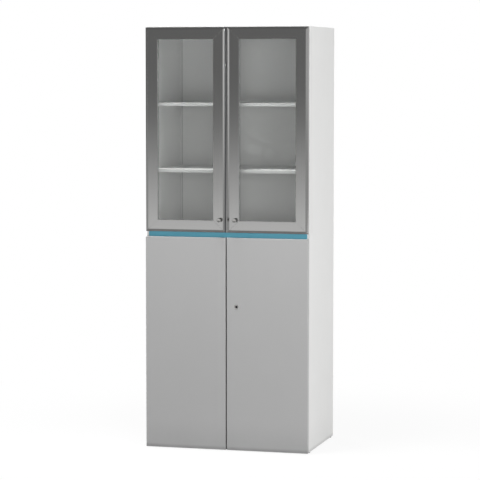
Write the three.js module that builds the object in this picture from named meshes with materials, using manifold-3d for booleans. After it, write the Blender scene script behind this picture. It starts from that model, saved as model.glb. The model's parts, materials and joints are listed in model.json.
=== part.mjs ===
// Glass door medical cabinet: a board carcass with two framed glass doors above a blue
// accent strip and two plain doors below, all on concealed cup hinges.
// Millimetres, +Z up, the front faces -Y, x = 0 is the middle and z = 0 the floor.

import * as THREE from 'three';
import { mergeVertices } from 'three/addons/utils/BufferGeometryUtils.js';
import Module from 'manifold-3d';

const wasm = await Module();
wasm.setup();

// Overall size
const WIDTH = 800;
const HEIGHT = 2020;
const DEPTH = 536;
const BOARD = 18;
const GLIDE_HEIGHT = 5;
const FIT = 0.3;
// How far a cutter stands out of the face that it cuts
const OVERCUT = 1;

// Doors: heights of their edges, thickness, and the gaps round them
const DOOR_THICKNESS = 22;
const DOOR_CLEARANCE = 3;
const DOOR_SIDE_REVEAL = 0;
const DOOR_GAP = 6;
const UPPER_DOOR = { bottom: 1046, top: 2018 };
const LOWER_DOOR = { bottom: 5, top: 1021.5 };
const LOWER_DOOR_ROUND = 1.5;

// Frame profile of the glass doors
const STILE_WIDTH = 61;
const RAIL_WIDTH = 57.5;
const LIP_WIDTH = 13;
const LIP_DEPTH = 7.5;
const FRAME_INNER_CHAMFER = 1;
const FRAME_WALL = 2.2;
const SLOT_DEPTH = 11;
const SLOT_FRONT = 9;
const SLOT_BACK = 17;
const GLASS_THICKNESS = 4;
const GLASS_BITE = 8;
const GASKET_SETBACK = 0.6;

// Knobs on the glass doors: radius and height of the profile, and distance of each knob from
// the inner edge of its door
const KNOB_PROFILE = [
  [0, 0], [5.5, 0], [5.5, 7], [7, 8], [9.4, 9.5], [10, 11], [10, 20.5], [8.5, 22], [0, 22],
];
const KNOB_REACH = Math.max(...KNOB_PROFILE.map(([, height]) => height));
const KNOB_SIDES = 20;
const KNOB_HEIGHT = 1105.5;
const KNOB_INSET = { left: 28, right: 41.5 };

// Carcass
const DIVIDER = { bottom: 1015.5, top: 1051.5 };
const BACK_THICKNESS = 6;
const BACK_SETBACK = 10;
const BACK_GROOVE_DEPTH = 8;
const STRIP = { bottom: 1017, top: 1050, proud: 2.2, ribDepth: 8, ribHeight: 3 };
const STRIP_OVERLAP = 3;
const STRIP_END = { overlap: 8, fromDoors: 1.2 };
const SHELF_THICKNESS = 15;
const SHELF_SETBACK = 24;
const SHELF_PLAY = { side: 1, back: 2 };
const UPPER_SHELF_UNDERSIDES = { low: 1328, high: 1644.5 };
const LOWER_SHELF_UNDERSIDE = 500;
const SUPPORT_SETBACKS = { front: 66, rear: 432 };
const SUPPORT = { paddle: 11, sheet: 1.6, halfWidth: 6, drop: 8, spigotShort: 0.8 };
const SUPPORT_HOLE_RADIUS = 2.7;
const SUPPORT_HOLE_DEPTH = 10;
const SUPPORT_HOLE_PITCH = 32;
const SUPPORT_HOLE_STEPS = [-2, -1, 0, 1, 2];
const SUPPORT_SPIGOT_DROP = 3.4;
const GLIDE_PROFILE = [[0, 0], [6.5, 0], [8, 1.5], [8, GLIDE_HEIGHT], [0, GLIDE_HEIGHT]];
const GLIDE_SIDES = 12;
const GLIDE_SETBACKS = { front: 31, rear: 478 };

// Cup hinges: the pivot lies this far in from the door's edge and behind its back face
const PIVOT_FROM_EDGE = 7;
const PIVOT_IN_DOOR = 9;
const HINGE_FROM_END = 110;
const CUP_RADIUS = 17.5;
const CUP_FROM_EDGE = 2.8;
const CUP_DEPTH = 12.7;
const CUP_WALL = 0.8;
const CUP_FLANGE_RADIUS = 18.4;
const CUP_FLANGE = 1.2;
const CUP_EAR = { halfWidth: 9, reach: 27 };
const CUP_SIDES = 20;
const PIN_RADIUS = 1.5;
const PIN_HALF_LENGTH = 9.2;
const KNUCKLE_RADIUS = 2;
const PIN_PLAY = 0.4;
const PIN_SIDES = 8;

// Hinge arm in plan, from the pivot: the neck's distances from the side panel and its bend,
// the leg that tapers to the knuckle, and the cover and plate on the side panel
const ARM_LENGTH = 62;
const ARM_HALF_HEIGHT = 4;
const NECK = { inner: 5.2, outer: 2.3, bendStart: 1.5, bendEnd: 2.4 };
const LEG = { bend: -1.8, heel: -1.7, toe: -1.05, front: 0.5, heelReach: 0.6, frontReach: 1.2 };
const KNUCKLE_ARC = { from: 1.18 * Math.PI, to: 2.82 * Math.PI, toe: 0.85 };
const ARM_COVER = { start: 20, endInset: 4, halfHeight: 7, proud: 2, sunk: 0.5 };
const ARM_PLATE = { start: 18, halfHeight: 17, lap: 0.4 };

// Cam lock in the right lower door
const LOCK = { x: 51.5, z: 693.5 };
const LOCK_FLANGE = { radius: 11, thickness: 1.5, chamfer: 0.8 };
const LOCK_BODY_RADIUS = 9;
const LOCK_BODY_LENGTH = 32;
const LOCK_PLUG_RADIUS = 6;
const LOCK_PLUG_PROUD = 1;
const LOCK_SIDES = 16;
const LOCK_TANG = { size: 6, beyondCam: 4 };
const KEY_SLOT = { width: 2, height: 8, depth: 12 };
const CAM = { length: 66, halfWidth: 8, thickness: 3 };
const NUT = { radius: 14, thickness: 6 };

// Slide bolt on the back of the left lower door, given as on a right-hand door
const BOLT = { x: 30, bodyBottom: 935, bodyTop: 990, tip: 1013.5, foot: 930, travel: 12 };
const BOLT_BODY = { halfWidth: 8, depth: 19 };
const BOLT_BAR = 7;
const BOLT_BAR_FROM_DOOR = 8;
const BOLT_THUMB = { halfWidth: 1.5, reach: 6, bottom: 951, height: 5, play: 1 };
const BOLT_HOLE = { play: 1, spare: 2 };

// Derived planes
const BACK_Y = (DEPTH + KNOB_REACH) / 2;
const DOOR_FRONT_Y = BACK_Y - DEPTH;
const DOOR_BACK_Y = DOOR_FRONT_Y + DOOR_THICKNESS;
const CARCASS_FRONT_Y = DOOR_BACK_Y + DOOR_CLEARANCE;
const BACK_PANEL_Y = BACK_Y - BACK_SETBACK - BACK_THICKNESS;
const SIDE_X = WIDTH / 2;
const INNER_X = SIDE_X - BOARD;
const DOOR_OUTER_X = SIDE_X - DOOR_SIDE_REVEAL;
const DOOR_INNER_X = DOOR_GAP / 2;
const PIVOT = { x: DOOR_OUTER_X - PIVOT_FROM_EDGE, y: DOOR_BACK_Y - PIVOT_IN_DOOR };
const CUP_X = DOOR_OUTER_X - CUP_FROM_EDGE - CUP_RADIUS;
const SIDES = ['left', 'right'];

// Finishes
const finish = (color, roughness, metalness, more = {}) =>
  new THREE.MeshStandardMaterial({ color, roughness, metalness, flatShading: true, ...more });
const FINISH = {
  whiteBoard: finish(0xe6e6e4, 0.5, 0),
  greyBoard: finish(0xb4b4b6, 0.45, 0),
  frameMetal: finish(0x9a9a9c, 0.35, 1),
  glass: finish(0xc8d4d0, 0.05, 0, { transparent: true, opacity: 0.3 }),
  gasket: finish(0x3a3a3c, 0.8, 0),
  blueStrip: finish(0x548ea3, 0.4, 0),
  satinNickel: finish(0xb0aeaa, 0.3, 1),
  hingeSteel: finish(0xa8a8a6, 0.35, 1),
  lockDark: finish(0x2c2c2e, 0.4, 0.6),
  plastic: finish(0x6e6e70, 0.6, 0),
};

// Closes a geometry by merging its shared corners and turns its faces outwards.
function welded(geometry) {
  geometry.deleteAttribute('normal');
  geometry.deleteAttribute('uv');
  const merged = mergeVertices(geometry);
  return signedVolume(merged) < 0 ? turned(merged) : merged;
}

function signedVolume(geometry) {
  const corners = geometry.getAttribute('position');
  const index = geometry.getIndex();
  const [a, b, c] = [new THREE.Vector3(), new THREE.Vector3(), new THREE.Vector3()];
  let volume = 0;
  for (let i = 0; i < index.count; i += 3) {
    a.fromBufferAttribute(corners, index.getX(i));
    b.fromBufferAttribute(corners, index.getX(i + 1));
    c.fromBufferAttribute(corners, index.getX(i + 2));
    volume += a.dot(b.cross(c)) / 6;
  }
  return volume;
}

function turned(geometry) {
  const index = geometry.getIndex().clone();
  for (let i = 0; i < index.count; i += 3) {
    const second = index.getX(i + 1);
    index.setX(i + 1, index.getX(i + 2));
    index.setX(i + 2, second);
  }
  geometry.setIndex(index);
  return geometry;
}

function mirrored(geometry) {
  return turned(geometry.clone().scale(-1, 1, 1));
}

function toSolid(geometry) {
  const closed = welded(geometry);
  return new wasm.Manifold(new wasm.Mesh({
    numProp: 3,
    vertProperties: Float32Array.from(closed.getAttribute('position').array),
    triVerts: Uint32Array.from(closed.getIndex().array),
  }));
}

function fromSolid(solid) {
  const mesh = solid.getMesh();
  const geometry = new THREE.BufferGeometry();
  geometry.setAttribute('position', new THREE.BufferAttribute(mesh.vertProperties, 3));
  geometry.setIndex(new THREE.BufferAttribute(mesh.triVerts, 1));
  return geometry;
}

function cut(geometry, ...tools) {
  const solid = tools.reduce((rest, tool) => rest.subtract(toSolid(tool)), toSolid(geometry));
  return fromSolid(solid);
}

function joined(geometry, ...others) {
  const solid = others.reduce((sum, other) => sum.add(toSolid(other)), toSolid(geometry));
  return fromSolid(solid);
}

// Basic forms
function block(x, y, z) {
  const geometry = new THREE.BoxGeometry(x[1] - x[0], y[1] - y[0], z[1] - z[0]);
  return geometry.translate((x[0] + x[1]) / 2, (y[0] + y[1]) / 2, (z[0] + z[1]) / 2);
}

function about(middle, half) {
  return [middle - half, middle + half];
}

// A round bar along x, y or z between two coordinates on that axis, through the point given
// by the other two.
function rod(axis, radius, [from, to], centre, sides) {
  const geometry = new THREE.CylinderGeometry(radius, radius, to - from, sides);
  if (axis === 'x') {
    geometry.rotateZ(Math.PI / 2);
  }
  if (axis === 'z') {
    geometry.rotateX(Math.PI / 2);
  }
  const middle = (from + to) / 2;
  const place = {
    x: [middle, ...centre],
    y: [centre[0], middle, centre[1]],
    z: [...centre, middle],
  };
  return geometry.translate(...place[axis]);
}

// A turned form: the profile gives radius and height above its seat.
function lathed(profile, sides) {
  return new THREE.LatheGeometry(profile.map(([r, h]) => new THREE.Vector2(r, h)), sides);
}

function polygon(points) {
  return new THREE.Shape(points.map(([x, y]) => new THREE.Vector2(x, y)));
}

// A flat shape drawn in x and z, extruded from the front plane towards the back.
function platedAlongY(shape, front, thickness, curveSegments) {
  const settings = { depth: thickness, bevelEnabled: false, curveSegments };
  const geometry = new THREE.ExtrudeGeometry(shape, settings);
  return geometry.rotateX(Math.PI / 2).translate(0, front + thickness, 0);
}

const cabinet = new THREE.Group();
cabinet.name = 'glass_door_medical_cabinet';

function add(name, geometry, material, side = 'right') {
  const closed = welded(geometry);
  const mesh = new THREE.Mesh(side === 'left' ? mirrored(closed) : closed, material);
  mesh.name = name;
  cabinet.add(mesh);
}

// Carcass boards
const supportRows = Object.values(SUPPORT_SETBACKS).map((setback) => CARCASS_FRONT_Y + setback);

function sidePanel() {
  const groove = block(
    [INNER_X - OVERCUT, INNER_X + BACK_GROOVE_DEPTH],
    [BACK_PANEL_Y - FIT, BACK_PANEL_Y + BACK_THICKNESS + FIT],
    [0, HEIGHT + OVERCUT],
  );
  const holes = [];
  for (const underside of Object.values(UPPER_SHELF_UNDERSIDES)) {
    for (const row of supportRows) {
      for (const step of SUPPORT_HOLE_STEPS) {
        const height = underside - SUPPORT_SPIGOT_DROP + step * SUPPORT_HOLE_PITCH;
        const span = [INNER_X - OVERCUT, INNER_X + SUPPORT_HOLE_DEPTH];
        holes.push(rod('x', SUPPORT_HOLE_RADIUS, span, [row, height], PIN_SIDES));
      }
    }
  }
  const panel = block([INNER_X, SIDE_X], [CARCASS_FRONT_Y, BACK_Y], [GLIDE_HEIGHT, HEIGHT]);
  return cut(panel, groove, ...holes);
}

function boardBetweenSides(bottom, thickness, setback = 0) {
  const deep = [CARCASS_FRONT_Y + setback, BACK_PANEL_Y];
  return block([-INNER_X, INNER_X], deep, [bottom, bottom + thickness]);
}

const stripMiddle = (STRIP.bottom + STRIP.top) / 2;
const boltBarY = DOOR_BACK_Y + BOLT_BAR_FROM_DOOR + BOLT_BAR / 2;

function dividerPanel() {
  const stripGroove = block(
    about(0, INNER_X + OVERCUT),
    [CARCASS_FRONT_Y - OVERCUT, CARCASS_FRONT_Y + STRIP.ribDepth + FIT],
    about(stripMiddle, STRIP.ribHeight / 2 + FIT),
  );
  const boltHole = block(
    about(-BOLT.x, BOLT_BAR / 2 + BOLT_HOLE.play),
    about(boltBarY, BOLT_BAR / 2 + BOLT_HOLE.play),
    [DIVIDER.bottom - OVERCUT, BOLT.tip + BOLT.travel + BOLT_HOLE.spare],
  );
  const board = boardBetweenSides(DIVIDER.bottom, DIVIDER.top - DIVIDER.bottom);
  return cut(board, stripGroove, boltHole);
}

// The strip is a flat band with rounded long edges, a rib that pushes into the divider, and
// ends that lie on the sides, low enough to clear the doors as they swing.
function accentStrip() {
  const front = CARCASS_FRONT_Y - STRIP.proud;
  const round = STRIP.proud / 2;
  const section = polygon([
    [CARCASS_FRONT_Y, STRIP.bottom],
    [CARCASS_FRONT_Y, STRIP.top],
    [front + round, STRIP.top],
    [front, STRIP.top - round],
    [front, STRIP.bottom + round],
    [front + round, STRIP.bottom],
  ]);
  const length = 2 * (INNER_X + STRIP_OVERLAP);
  const band = new THREE.ExtrudeGeometry(section, { depth: length, bevelEnabled: false });
  const toSection = new THREE.Matrix4().makeBasis(
    new THREE.Vector3(0, 1, 0),
    new THREE.Vector3(0, 0, 1),
    new THREE.Vector3(1, 0, 0),
  );
  band.applyMatrix4(toSection).translate(-length / 2, 0, 0);
  const rib = block(
    about(0, INNER_X - FIT),
    [front + round, CARCASS_FRONT_Y + STRIP.ribDepth],
    about(stripMiddle, STRIP.ribHeight / 2),
  );
  const ends = block(
    about(0, INNER_X + STRIP_END.overlap),
    [front, CARCASS_FRONT_Y],
    [LOWER_DOOR.top + STRIP_END.fromDoors, UPPER_DOOR.bottom - STRIP_END.fromDoors],
  );
  return joined(band, rib, ends);
}

function looseShelf(underside) {
  const front = CARCASS_FRONT_Y + SHELF_SETBACK;
  const deep = [front, BACK_PANEL_Y - SHELF_PLAY.back];
  return block(about(0, INNER_X - SHELF_PLAY.side), deep, [underside, underside + SHELF_THICKNESS]);
}

// An L-shaped support: paddle under the shelf, plate against the side, spigot in the side.
function shelfSupport(row, underside) {
  const wide = about(row, SUPPORT.halfWidth);
  const paddle = block([INNER_X - SUPPORT.paddle, INNER_X], wide, [underside - SUPPORT.sheet, underside]);
  const plate = block([INNER_X - SUPPORT.sheet, INNER_X], wide, [underside - SUPPORT.drop, underside]);
  const span = [INNER_X - SUPPORT.sheet / 2, INNER_X + SUPPORT_HOLE_DEPTH - SUPPORT.spigotShort];
  const centre = [row, underside - SUPPORT_SPIGOT_DROP];
  const spigot = rod('x', SUPPORT_HOLE_RADIUS - FIT, span, centre, PIN_SIDES);
  return joined(paddle, plate, spigot);
}

function glide(setback) {
  const foot = lathed(GLIDE_PROFILE, GLIDE_SIDES).rotateX(Math.PI / 2);
  return foot.translate(SIDE_X - BOARD / 2, CARCASS_FRONT_Y + setback, 0);
}

add('top_panel', boardBetweenSides(HEIGHT - BOARD, BOARD), FINISH.whiteBoard);
add('bottom_panel', boardBetweenSides(GLIDE_HEIGHT, BOARD), FINISH.whiteBoard);
add('divider_panel', dividerPanel(), FINISH.whiteBoard);
add('accent_strip', accentStrip(), FINISH.blueStrip);
add('back_panel', block(
  about(0, INNER_X + BACK_GROOVE_DEPTH - FIT),
  [BACK_PANEL_Y, BACK_PANEL_Y + BACK_THICKNESS],
  [GLIDE_HEIGHT + FIT, HEIGHT - FIT],
), FINISH.whiteBoard);
add('lower_shelf', boardBetweenSides(LOWER_SHELF_UNDERSIDE, BOARD, SHELF_SETBACK), FINISH.whiteBoard);
for (const [level, underside] of Object.entries(UPPER_SHELF_UNDERSIDES)) {
  add(`upper_shelf_${level}`, looseShelf(underside), FINISH.whiteBoard);
}
for (const side of SIDES) {
  add(`side_panel_${side}`, sidePanel(), FINISH.whiteBoard, side);
  for (const [end, setback] of Object.entries(GLIDE_SETBACKS)) {
    add(`glide_${side}_${end}`, glide(setback), FINISH.plastic, side);
  }
  for (const [level, underside] of Object.entries(UPPER_SHELF_UNDERSIDES)) {
    for (const [end, setback] of Object.entries(SUPPORT_SETBACKS)) {
      const support = shelfSupport(CARCASS_FRONT_Y + setback, underside);
      add(`shelf_support_${level}_${side}_${end}`, support, FINISH.satinNickel, side);
    }
  }
}

// Hinges. The arm is drawn in plan about the pivot: a plate on the side panel, a neck that
// enters the cup clear of the door's swinging edge, and a leg to the knuckle.
function hingeArm(height) {
  const panel = INNER_X - PIVOT.x;
  const neck = [panel - NECK.inner, panel - NECK.outer];
  const plan = new THREE.Shape();
  plan.moveTo(neck[0], ARM_LENGTH);
  plan.lineTo(neck[0], NECK.bendStart);
  plan.quadraticCurveTo(neck[0], LEG.bend, neck[1] + LEG.heelReach, LEG.heel);
  plan.lineTo(-KNUCKLE_RADIUS * KNUCKLE_ARC.toe, LEG.toe);
  plan.absarc(0, 0, KNUCKLE_RADIUS, KNUCKLE_ARC.from, KNUCKLE_ARC.to, false);
  plan.lineTo(neck[1] + LEG.frontReach, LEG.front);
  plan.quadraticCurveTo(neck[1], LEG.front, neck[1], NECK.bendEnd);
  plan.lineTo(neck[1], ARM_LENGTH);
  const arm = new THREE.ExtrudeGeometry(plan, {
    depth: 2 * ARM_HALF_HEIGHT, bevelEnabled: false, curveSegments: 6,
  }).translate(0, 0, -ARM_HALF_HEIGHT);
  const cover = block(
    [neck[0] - ARM_COVER.proud, neck[1] - ARM_COVER.sunk],
    [ARM_COVER.start, ARM_LENGTH - ARM_COVER.endInset],
    about(0, ARM_COVER.halfHeight),
  );
  const plate = block(
    [neck[1] - ARM_PLATE.lap, panel],
    [ARM_PLATE.start, ARM_LENGTH],
    about(0, ARM_PLATE.halfHeight),
  );
  const pin = rod('z', PIN_RADIUS, about(0, PIN_HALF_LENGTH), [0, 0], PIN_SIDES);
  return joined(arm, cover, plate, pin).translate(PIVOT.x, PIVOT.y, height);
}

function hingeCup(height) {
  const outside = lathed([
    [0, -CUP_DEPTH], [CUP_RADIUS, -CUP_DEPTH], [CUP_RADIUS, 0],
    [CUP_FLANGE_RADIUS, 0], [CUP_FLANGE_RADIUS, CUP_FLANGE], [0, CUP_FLANGE],
  ], CUP_SIDES);
  const ears = block(about(0, CUP_EAR.halfWidth), [0, CUP_FLANGE], about(0, CUP_EAR.reach));
  const inside = [CUP_WALL - CUP_DEPTH, CUP_FLANGE + OVERCUT];
  const hollow = rod('y', CUP_RADIUS - CUP_WALL, inside, [0, 0], CUP_SIDES);
  const pinPlace = [PIVOT.x - CUP_X, -PIVOT_IN_DOOR];
  const pinHole = rod('z', PIN_RADIUS + PIN_PLAY, about(0, CUP_RADIUS), pinPlace, PIN_SIDES);
  return cut(joined(outside, ears), hollow, pinHole).translate(CUP_X, DOOR_BACK_Y, height);
}

function cupBore(height) {
  const span = [DOOR_BACK_Y - CUP_DEPTH - FIT, DOOR_BACK_Y + OVERCUT];
  return rod('y', CUP_RADIUS + FIT, span, [CUP_X, height], CUP_SIDES);
}

function hingeHeights(door) {
  return { bottom: door.bottom + HINGE_FROM_END, top: door.top - HINGE_FROM_END };
}

for (const side of SIDES) {
  for (const [row, door] of Object.entries({ upper: UPPER_DOOR, lower: LOWER_DOOR })) {
    for (const [end, height] of Object.entries(hingeHeights(door))) {
      add(`hinge_arm_${row}_${side}_${end}`, hingeArm(height), FINISH.hingeSteel, side);
      add(`hinge_cup_${row}_${side}_${end}`, hingeCup(height), FINISH.hingeSteel, side);
    }
  }
}

// Glass doors. The frame is a hollow extruded profile that runs inwards from the outer edge,
// with a bevelled lip, a flat face and a slot for the pane. Rails share the profile, drawn
// in to their own width.
function frameProfile(width) {
  const narrowing = width / STILE_WIDTH;
  const drawnIn = ([inward, behind]) => [inward * narrowing, behind];
  const chamberEnd = STILE_WIDTH - SLOT_DEPTH - FRAME_WALL;
  const section = polygon([
    [0, LIP_DEPTH],
    [LIP_WIDTH, 0],
    [STILE_WIDTH - FRAME_INNER_CHAMFER, 0],
    [STILE_WIDTH, FRAME_INNER_CHAMFER],
    [STILE_WIDTH, SLOT_FRONT],
    [STILE_WIDTH - SLOT_DEPTH, SLOT_FRONT],
    [STILE_WIDTH - SLOT_DEPTH, SLOT_BACK],
    [STILE_WIDTH, SLOT_BACK],
    [STILE_WIDTH, DOOR_THICKNESS],
    [0, DOOR_THICKNESS],
  ].map(drawnIn));
  const chamber = polygon([
    [FRAME_WALL, LIP_DEPTH + FRAME_WALL / 2],
    [FRAME_WALL, DOOR_THICKNESS - FRAME_WALL],
    [chamberEnd, DOOR_THICKNESS - FRAME_WALL],
    [chamberEnd, FRAME_WALL],
    [LIP_WIDTH + FRAME_WALL / 2, FRAME_WALL],
  ].map(drawnIn));
  section.holes.push(new THREE.Path(chamber.getPoints()));
  return section;
}

// A bar of the profile whose ends are mitred: its inner edge is shorter by the width of the
// members that it meets.
function mitredBar(width, meetingWidth, length) {
  const settings = { depth: length, bevelEnabled: false };
  const geometry = new THREE.ExtrudeGeometry(frameProfile(width), settings);
  const corners = geometry.getAttribute('position');
  for (let i = 0; i < corners.count; i += 1) {
    const step = corners.getX(i) * meetingWidth / width + FIT / 2;
    const along = corners.getZ(i);
    corners.setZ(i, along > length / 2 ? length - step : step);
  }
  return geometry;
}

function frameMember(width, meetingWidth, length, quarterTurns, x, z) {
  const bar = mitredBar(width, meetingWidth, length);
  return bar.rotateY(quarterTurns * Math.PI / 2).translate(x, DOOR_FRONT_Y, z);
}

const UPPER_HEIGHT = UPPER_DOOR.top - UPPER_DOOR.bottom;
const DOOR_WIDTH = DOOR_OUTER_X - DOOR_INNER_X;

// A slab in the plane of the pane whose edge lies this far in from the edge of the stiles,
// and in proportion from that of the rails.
function paneSlab(inset, front, back) {
  const rise = inset * RAIL_WIDTH / STILE_WIDTH;
  return block(
    [DOOR_INNER_X + inset, DOOR_OUTER_X - inset],
    [DOOR_FRONT_Y + front, DOOR_FRONT_Y + back],
    [UPPER_DOOR.bottom + rise, UPPER_DOOR.top - rise],
  );
}

function knob(inset) {
  const turnedKnob = lathed(KNOB_PROFILE, KNOB_SIDES).rotateX(Math.PI);
  return turnedKnob.translate(DOOR_INNER_X + inset, DOOR_FRONT_Y, KNOB_HEIGHT);
}

const glassFront = (SLOT_FRONT + SLOT_BACK - GLASS_THICKNESS) / 2;
const glassInset = STILE_WIDTH - GLASS_BITE;

function gasket() {
  const ring = paneSlab(STILE_WIDTH - SLOT_DEPTH + FIT, SLOT_FRONT + FIT, SLOT_BACK - FIT);
  const opening = paneSlab(STILE_WIDTH - GASKET_SETBACK, 0, DOOR_THICKNESS);
  const seat = paneSlab(glassInset - FIT, glassFront - FIT, glassFront + GLASS_THICKNESS + FIT);
  return cut(ring, opening, seat);
}

for (const side of SIDES) {
  const stile = [STILE_WIDTH, RAIL_WIDTH, UPPER_HEIGHT];
  const rail = [RAIL_WIDTH, STILE_WIDTH, DOOR_WIDTH];
  const outerStile = frameMember(...stile, 2, DOOR_OUTER_X, UPPER_DOOR.top);
  const cupBores = Object.values(hingeHeights(UPPER_DOOR)).map(cupBore);
  add(`frame_${side}_outer_stile`, cut(outerStile, ...cupBores), FINISH.frameMetal, side);
  const innerStile = frameMember(...stile, 0, DOOR_INNER_X, UPPER_DOOR.bottom);
  add(`frame_${side}_inner_stile`, innerStile, FINISH.frameMetal, side);
  const topRail = frameMember(...rail, 1, DOOR_INNER_X, UPPER_DOOR.top);
  add(`frame_${side}_top_rail`, topRail, FINISH.frameMetal, side);
  const bottomRail = frameMember(...rail, -1, DOOR_OUTER_X, UPPER_DOOR.bottom);
  add(`frame_${side}_bottom_rail`, bottomRail, FINISH.frameMetal, side);
  const pane = paneSlab(glassInset, glassFront, glassFront + GLASS_THICKNESS);
  add(`glass_${side}`, pane, FINISH.glass, side);
  add(`gasket_${side}`, gasket(), FINISH.gasket, side);
  add(`knob_${side}`, knob(KNOB_INSET[side]), FINISH.satinNickel, side);
}

// Lower doors: boards with rounded long edges, bored for the hinge cups and the lock
function lowerDoor() {
  const round = LOWER_DOOR_ROUND;
  const face = polygon([
    [DOOR_INNER_X + round, LOWER_DOOR.bottom + round],
    [DOOR_OUTER_X - round, LOWER_DOOR.bottom + round],
    [DOOR_OUTER_X - round, LOWER_DOOR.top - round],
    [DOOR_INNER_X + round, LOWER_DOOR.top - round],
  ]);
  const geometry = new THREE.ExtrudeGeometry(face, {
    depth: DOOR_THICKNESS - 2 * round, bevelSize: round, bevelThickness: round, bevelSegments: 2,
  });
  geometry.rotateX(Math.PI / 2).translate(0, DOOR_BACK_Y - round, 0);
  return cut(geometry, ...Object.values(hingeHeights(LOWER_DOOR)).map(cupBore));
}

const lockCentre = [LOCK.x, LOCK.z];
const lockBodyEnd = DOOR_FRONT_Y + LOCK_BODY_LENGTH;
const plugEnd = lockBodyEnd + LOCK_PLUG_PROUD;
const lockSpan = [DOOR_FRONT_Y - OVERCUT, DOOR_BACK_Y + OVERCUT];
const lockBore = rod('y', LOCK_BODY_RADIUS + FIT, lockSpan, lockCentre, LOCK_SIDES);

// Flanged body that passes through the door, with a bore for the plug
function lockHousing() {
  const seat = -LOCK_FLANGE.thickness;
  const profile = [
    [0, seat],
    [LOCK_FLANGE.radius - LOCK_FLANGE.chamfer, seat],
    [LOCK_FLANGE.radius, seat + LOCK_FLANGE.chamfer],
    [LOCK_FLANGE.radius, 0],
    [LOCK_BODY_RADIUS, 0],
    [LOCK_BODY_RADIUS, LOCK_BODY_LENGTH],
    [0, LOCK_BODY_LENGTH],
  ];
  const body = lathed(profile, LOCK_SIDES).translate(LOCK.x, DOOR_FRONT_Y, LOCK.z);
  const span = [DOOR_FRONT_Y + seat - OVERCUT, lockBodyEnd + OVERCUT];
  return cut(body, rod('y', LOCK_PLUG_RADIUS + FIT, span, lockCentre, LOCK_SIDES));
}

// Turning plug: key slot in front, square tang behind for the cam
function lockPlug() {
  const front = DOOR_FRONT_Y - LOCK_FLANGE.thickness;
  const half = LOCK_TANG.size / 2;
  const tangEnd = lockBodyEnd + CAM.thickness + LOCK_TANG.beyondCam;
  const barrel = rod('y', LOCK_PLUG_RADIUS, [front, plugEnd], lockCentre, LOCK_SIDES);
  const tang = block(about(LOCK.x, half), [lockBodyEnd, tangEnd], about(LOCK.z, half));
  const slot = block(
    about(LOCK.x, KEY_SLOT.width / 2),
    [front - OVERCUT, front + KEY_SLOT.depth],
    about(LOCK.z, KEY_SLOT.height / 2),
  );
  return cut(joined(barrel, tang), slot);
}

// Cam: a round-ended bar that hangs down when unlocked and reaches behind the other door
// when turned
function lockCam() {
  const bar = new THREE.Shape();
  const end = CAM.halfWidth - CAM.length;
  bar.absarc(0, 0, CAM.halfWidth, 0, Math.PI, false);
  bar.lineTo(-CAM.halfWidth, end);
  bar.absarc(0, end, CAM.halfWidth, Math.PI, Math.PI * 2, false);
  const half = LOCK_TANG.size / 2 + FIT;
  const eye = polygon([[-half, -half], [-half, half], [half, half], [half, -half]]);
  bar.holes.push(new THREE.Path(eye.getPoints()));
  return platedAlongY(bar, plugEnd + FIT, CAM.thickness, 8).translate(LOCK.x, 0, LOCK.z);
}

function lockNut() {
  const angles = [0, 1, 2, 3, 4, 5].map((corner) => corner * Math.PI / 3);
  const onCircle = (angle) => [NUT.radius * Math.cos(angle), NUT.radius * Math.sin(angle)];
  const hexagon = polygon(angles.map(onCircle));
  const eye = new THREE.Path();
  eye.absarc(0, 0, LOCK_BODY_RADIUS + FIT, 0, Math.PI * 2, true);
  hexagon.holes.push(eye);
  return platedAlongY(hexagon, DOOR_BACK_Y, NUT.thickness, 16).translate(LOCK.x, 0, LOCK.z);
}

// Slide bolt: a body with a square channel and a thumb slot, and a square bar in it
function boltBody() {
  const deep = [DOOR_BACK_Y, DOOR_BACK_Y + BOLT_BODY.depth];
  const body = block(about(BOLT.x, BOLT_BODY.halfWidth), deep, [BOLT.bodyBottom, BOLT.bodyTop]);
  const half = BOLT_BAR / 2 + FIT;
  const channel = block(
    about(BOLT.x, half),
    about(boltBarY, half),
    [BOLT.bodyBottom - OVERCUT, BOLT.bodyTop + OVERCUT],
  );
  const thumbTop = BOLT_THUMB.bottom + BOLT_THUMB.height + BOLT.travel;
  const slot = block(
    about(BOLT.x, BOLT_THUMB.halfWidth + FIT),
    [boltBarY, deep[1] + OVERCUT],
    [BOLT_THUMB.bottom - BOLT_THUMB.play, thumbTop + BOLT_THUMB.play],
  );
  return cut(body, channel, slot);
}

function boltSlider() {
  const half = BOLT_BAR / 2;
  const bar = block(about(BOLT.x, half), about(boltBarY, half), [BOLT.foot, BOLT.tip - half]);
  const tip = new THREE.CylinderGeometry(half / 2, half, half, 4, 1).rotateY(Math.PI / 4);
  tip.scale(Math.SQRT2, 1, Math.SQRT2).rotateX(Math.PI / 2);
  tip.translate(BOLT.x, boltBarY, BOLT.tip - half / 2);
  const thumbEnd = DOOR_BACK_Y + BOLT_BODY.depth + BOLT_THUMB.reach;
  const thumb = block(
    about(BOLT.x, BOLT_THUMB.halfWidth),
    [boltBarY, thumbEnd],
    [BOLT_THUMB.bottom, BOLT_THUMB.bottom + BOLT_THUMB.height],
  );
  return joined(bar, tip, thumb);
}

add('lower_door_right', cut(lowerDoor(), lockBore), FINISH.greyBoard);
add('lower_door_left', lowerDoor(), FINISH.greyBoard, 'left');
add('lock_housing', lockHousing(), FINISH.satinNickel);
add('lock_plug', lockPlug(), FINISH.lockDark);
add('lock_cam', lockCam(), FINISH.hingeSteel);
add('lock_nut', lockNut(), FINISH.hingeSteel);
add('bolt_body', boltBody(), FINISH.hingeSteel, 'left');
add('bolt_slider', boltSlider(), FINISH.hingeSteel, 'left');

export default cabinet;
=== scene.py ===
"""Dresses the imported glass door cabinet: finishes, turned fittings, screws, and a studio."""

import json
import math
from typing import NamedTuple

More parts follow.
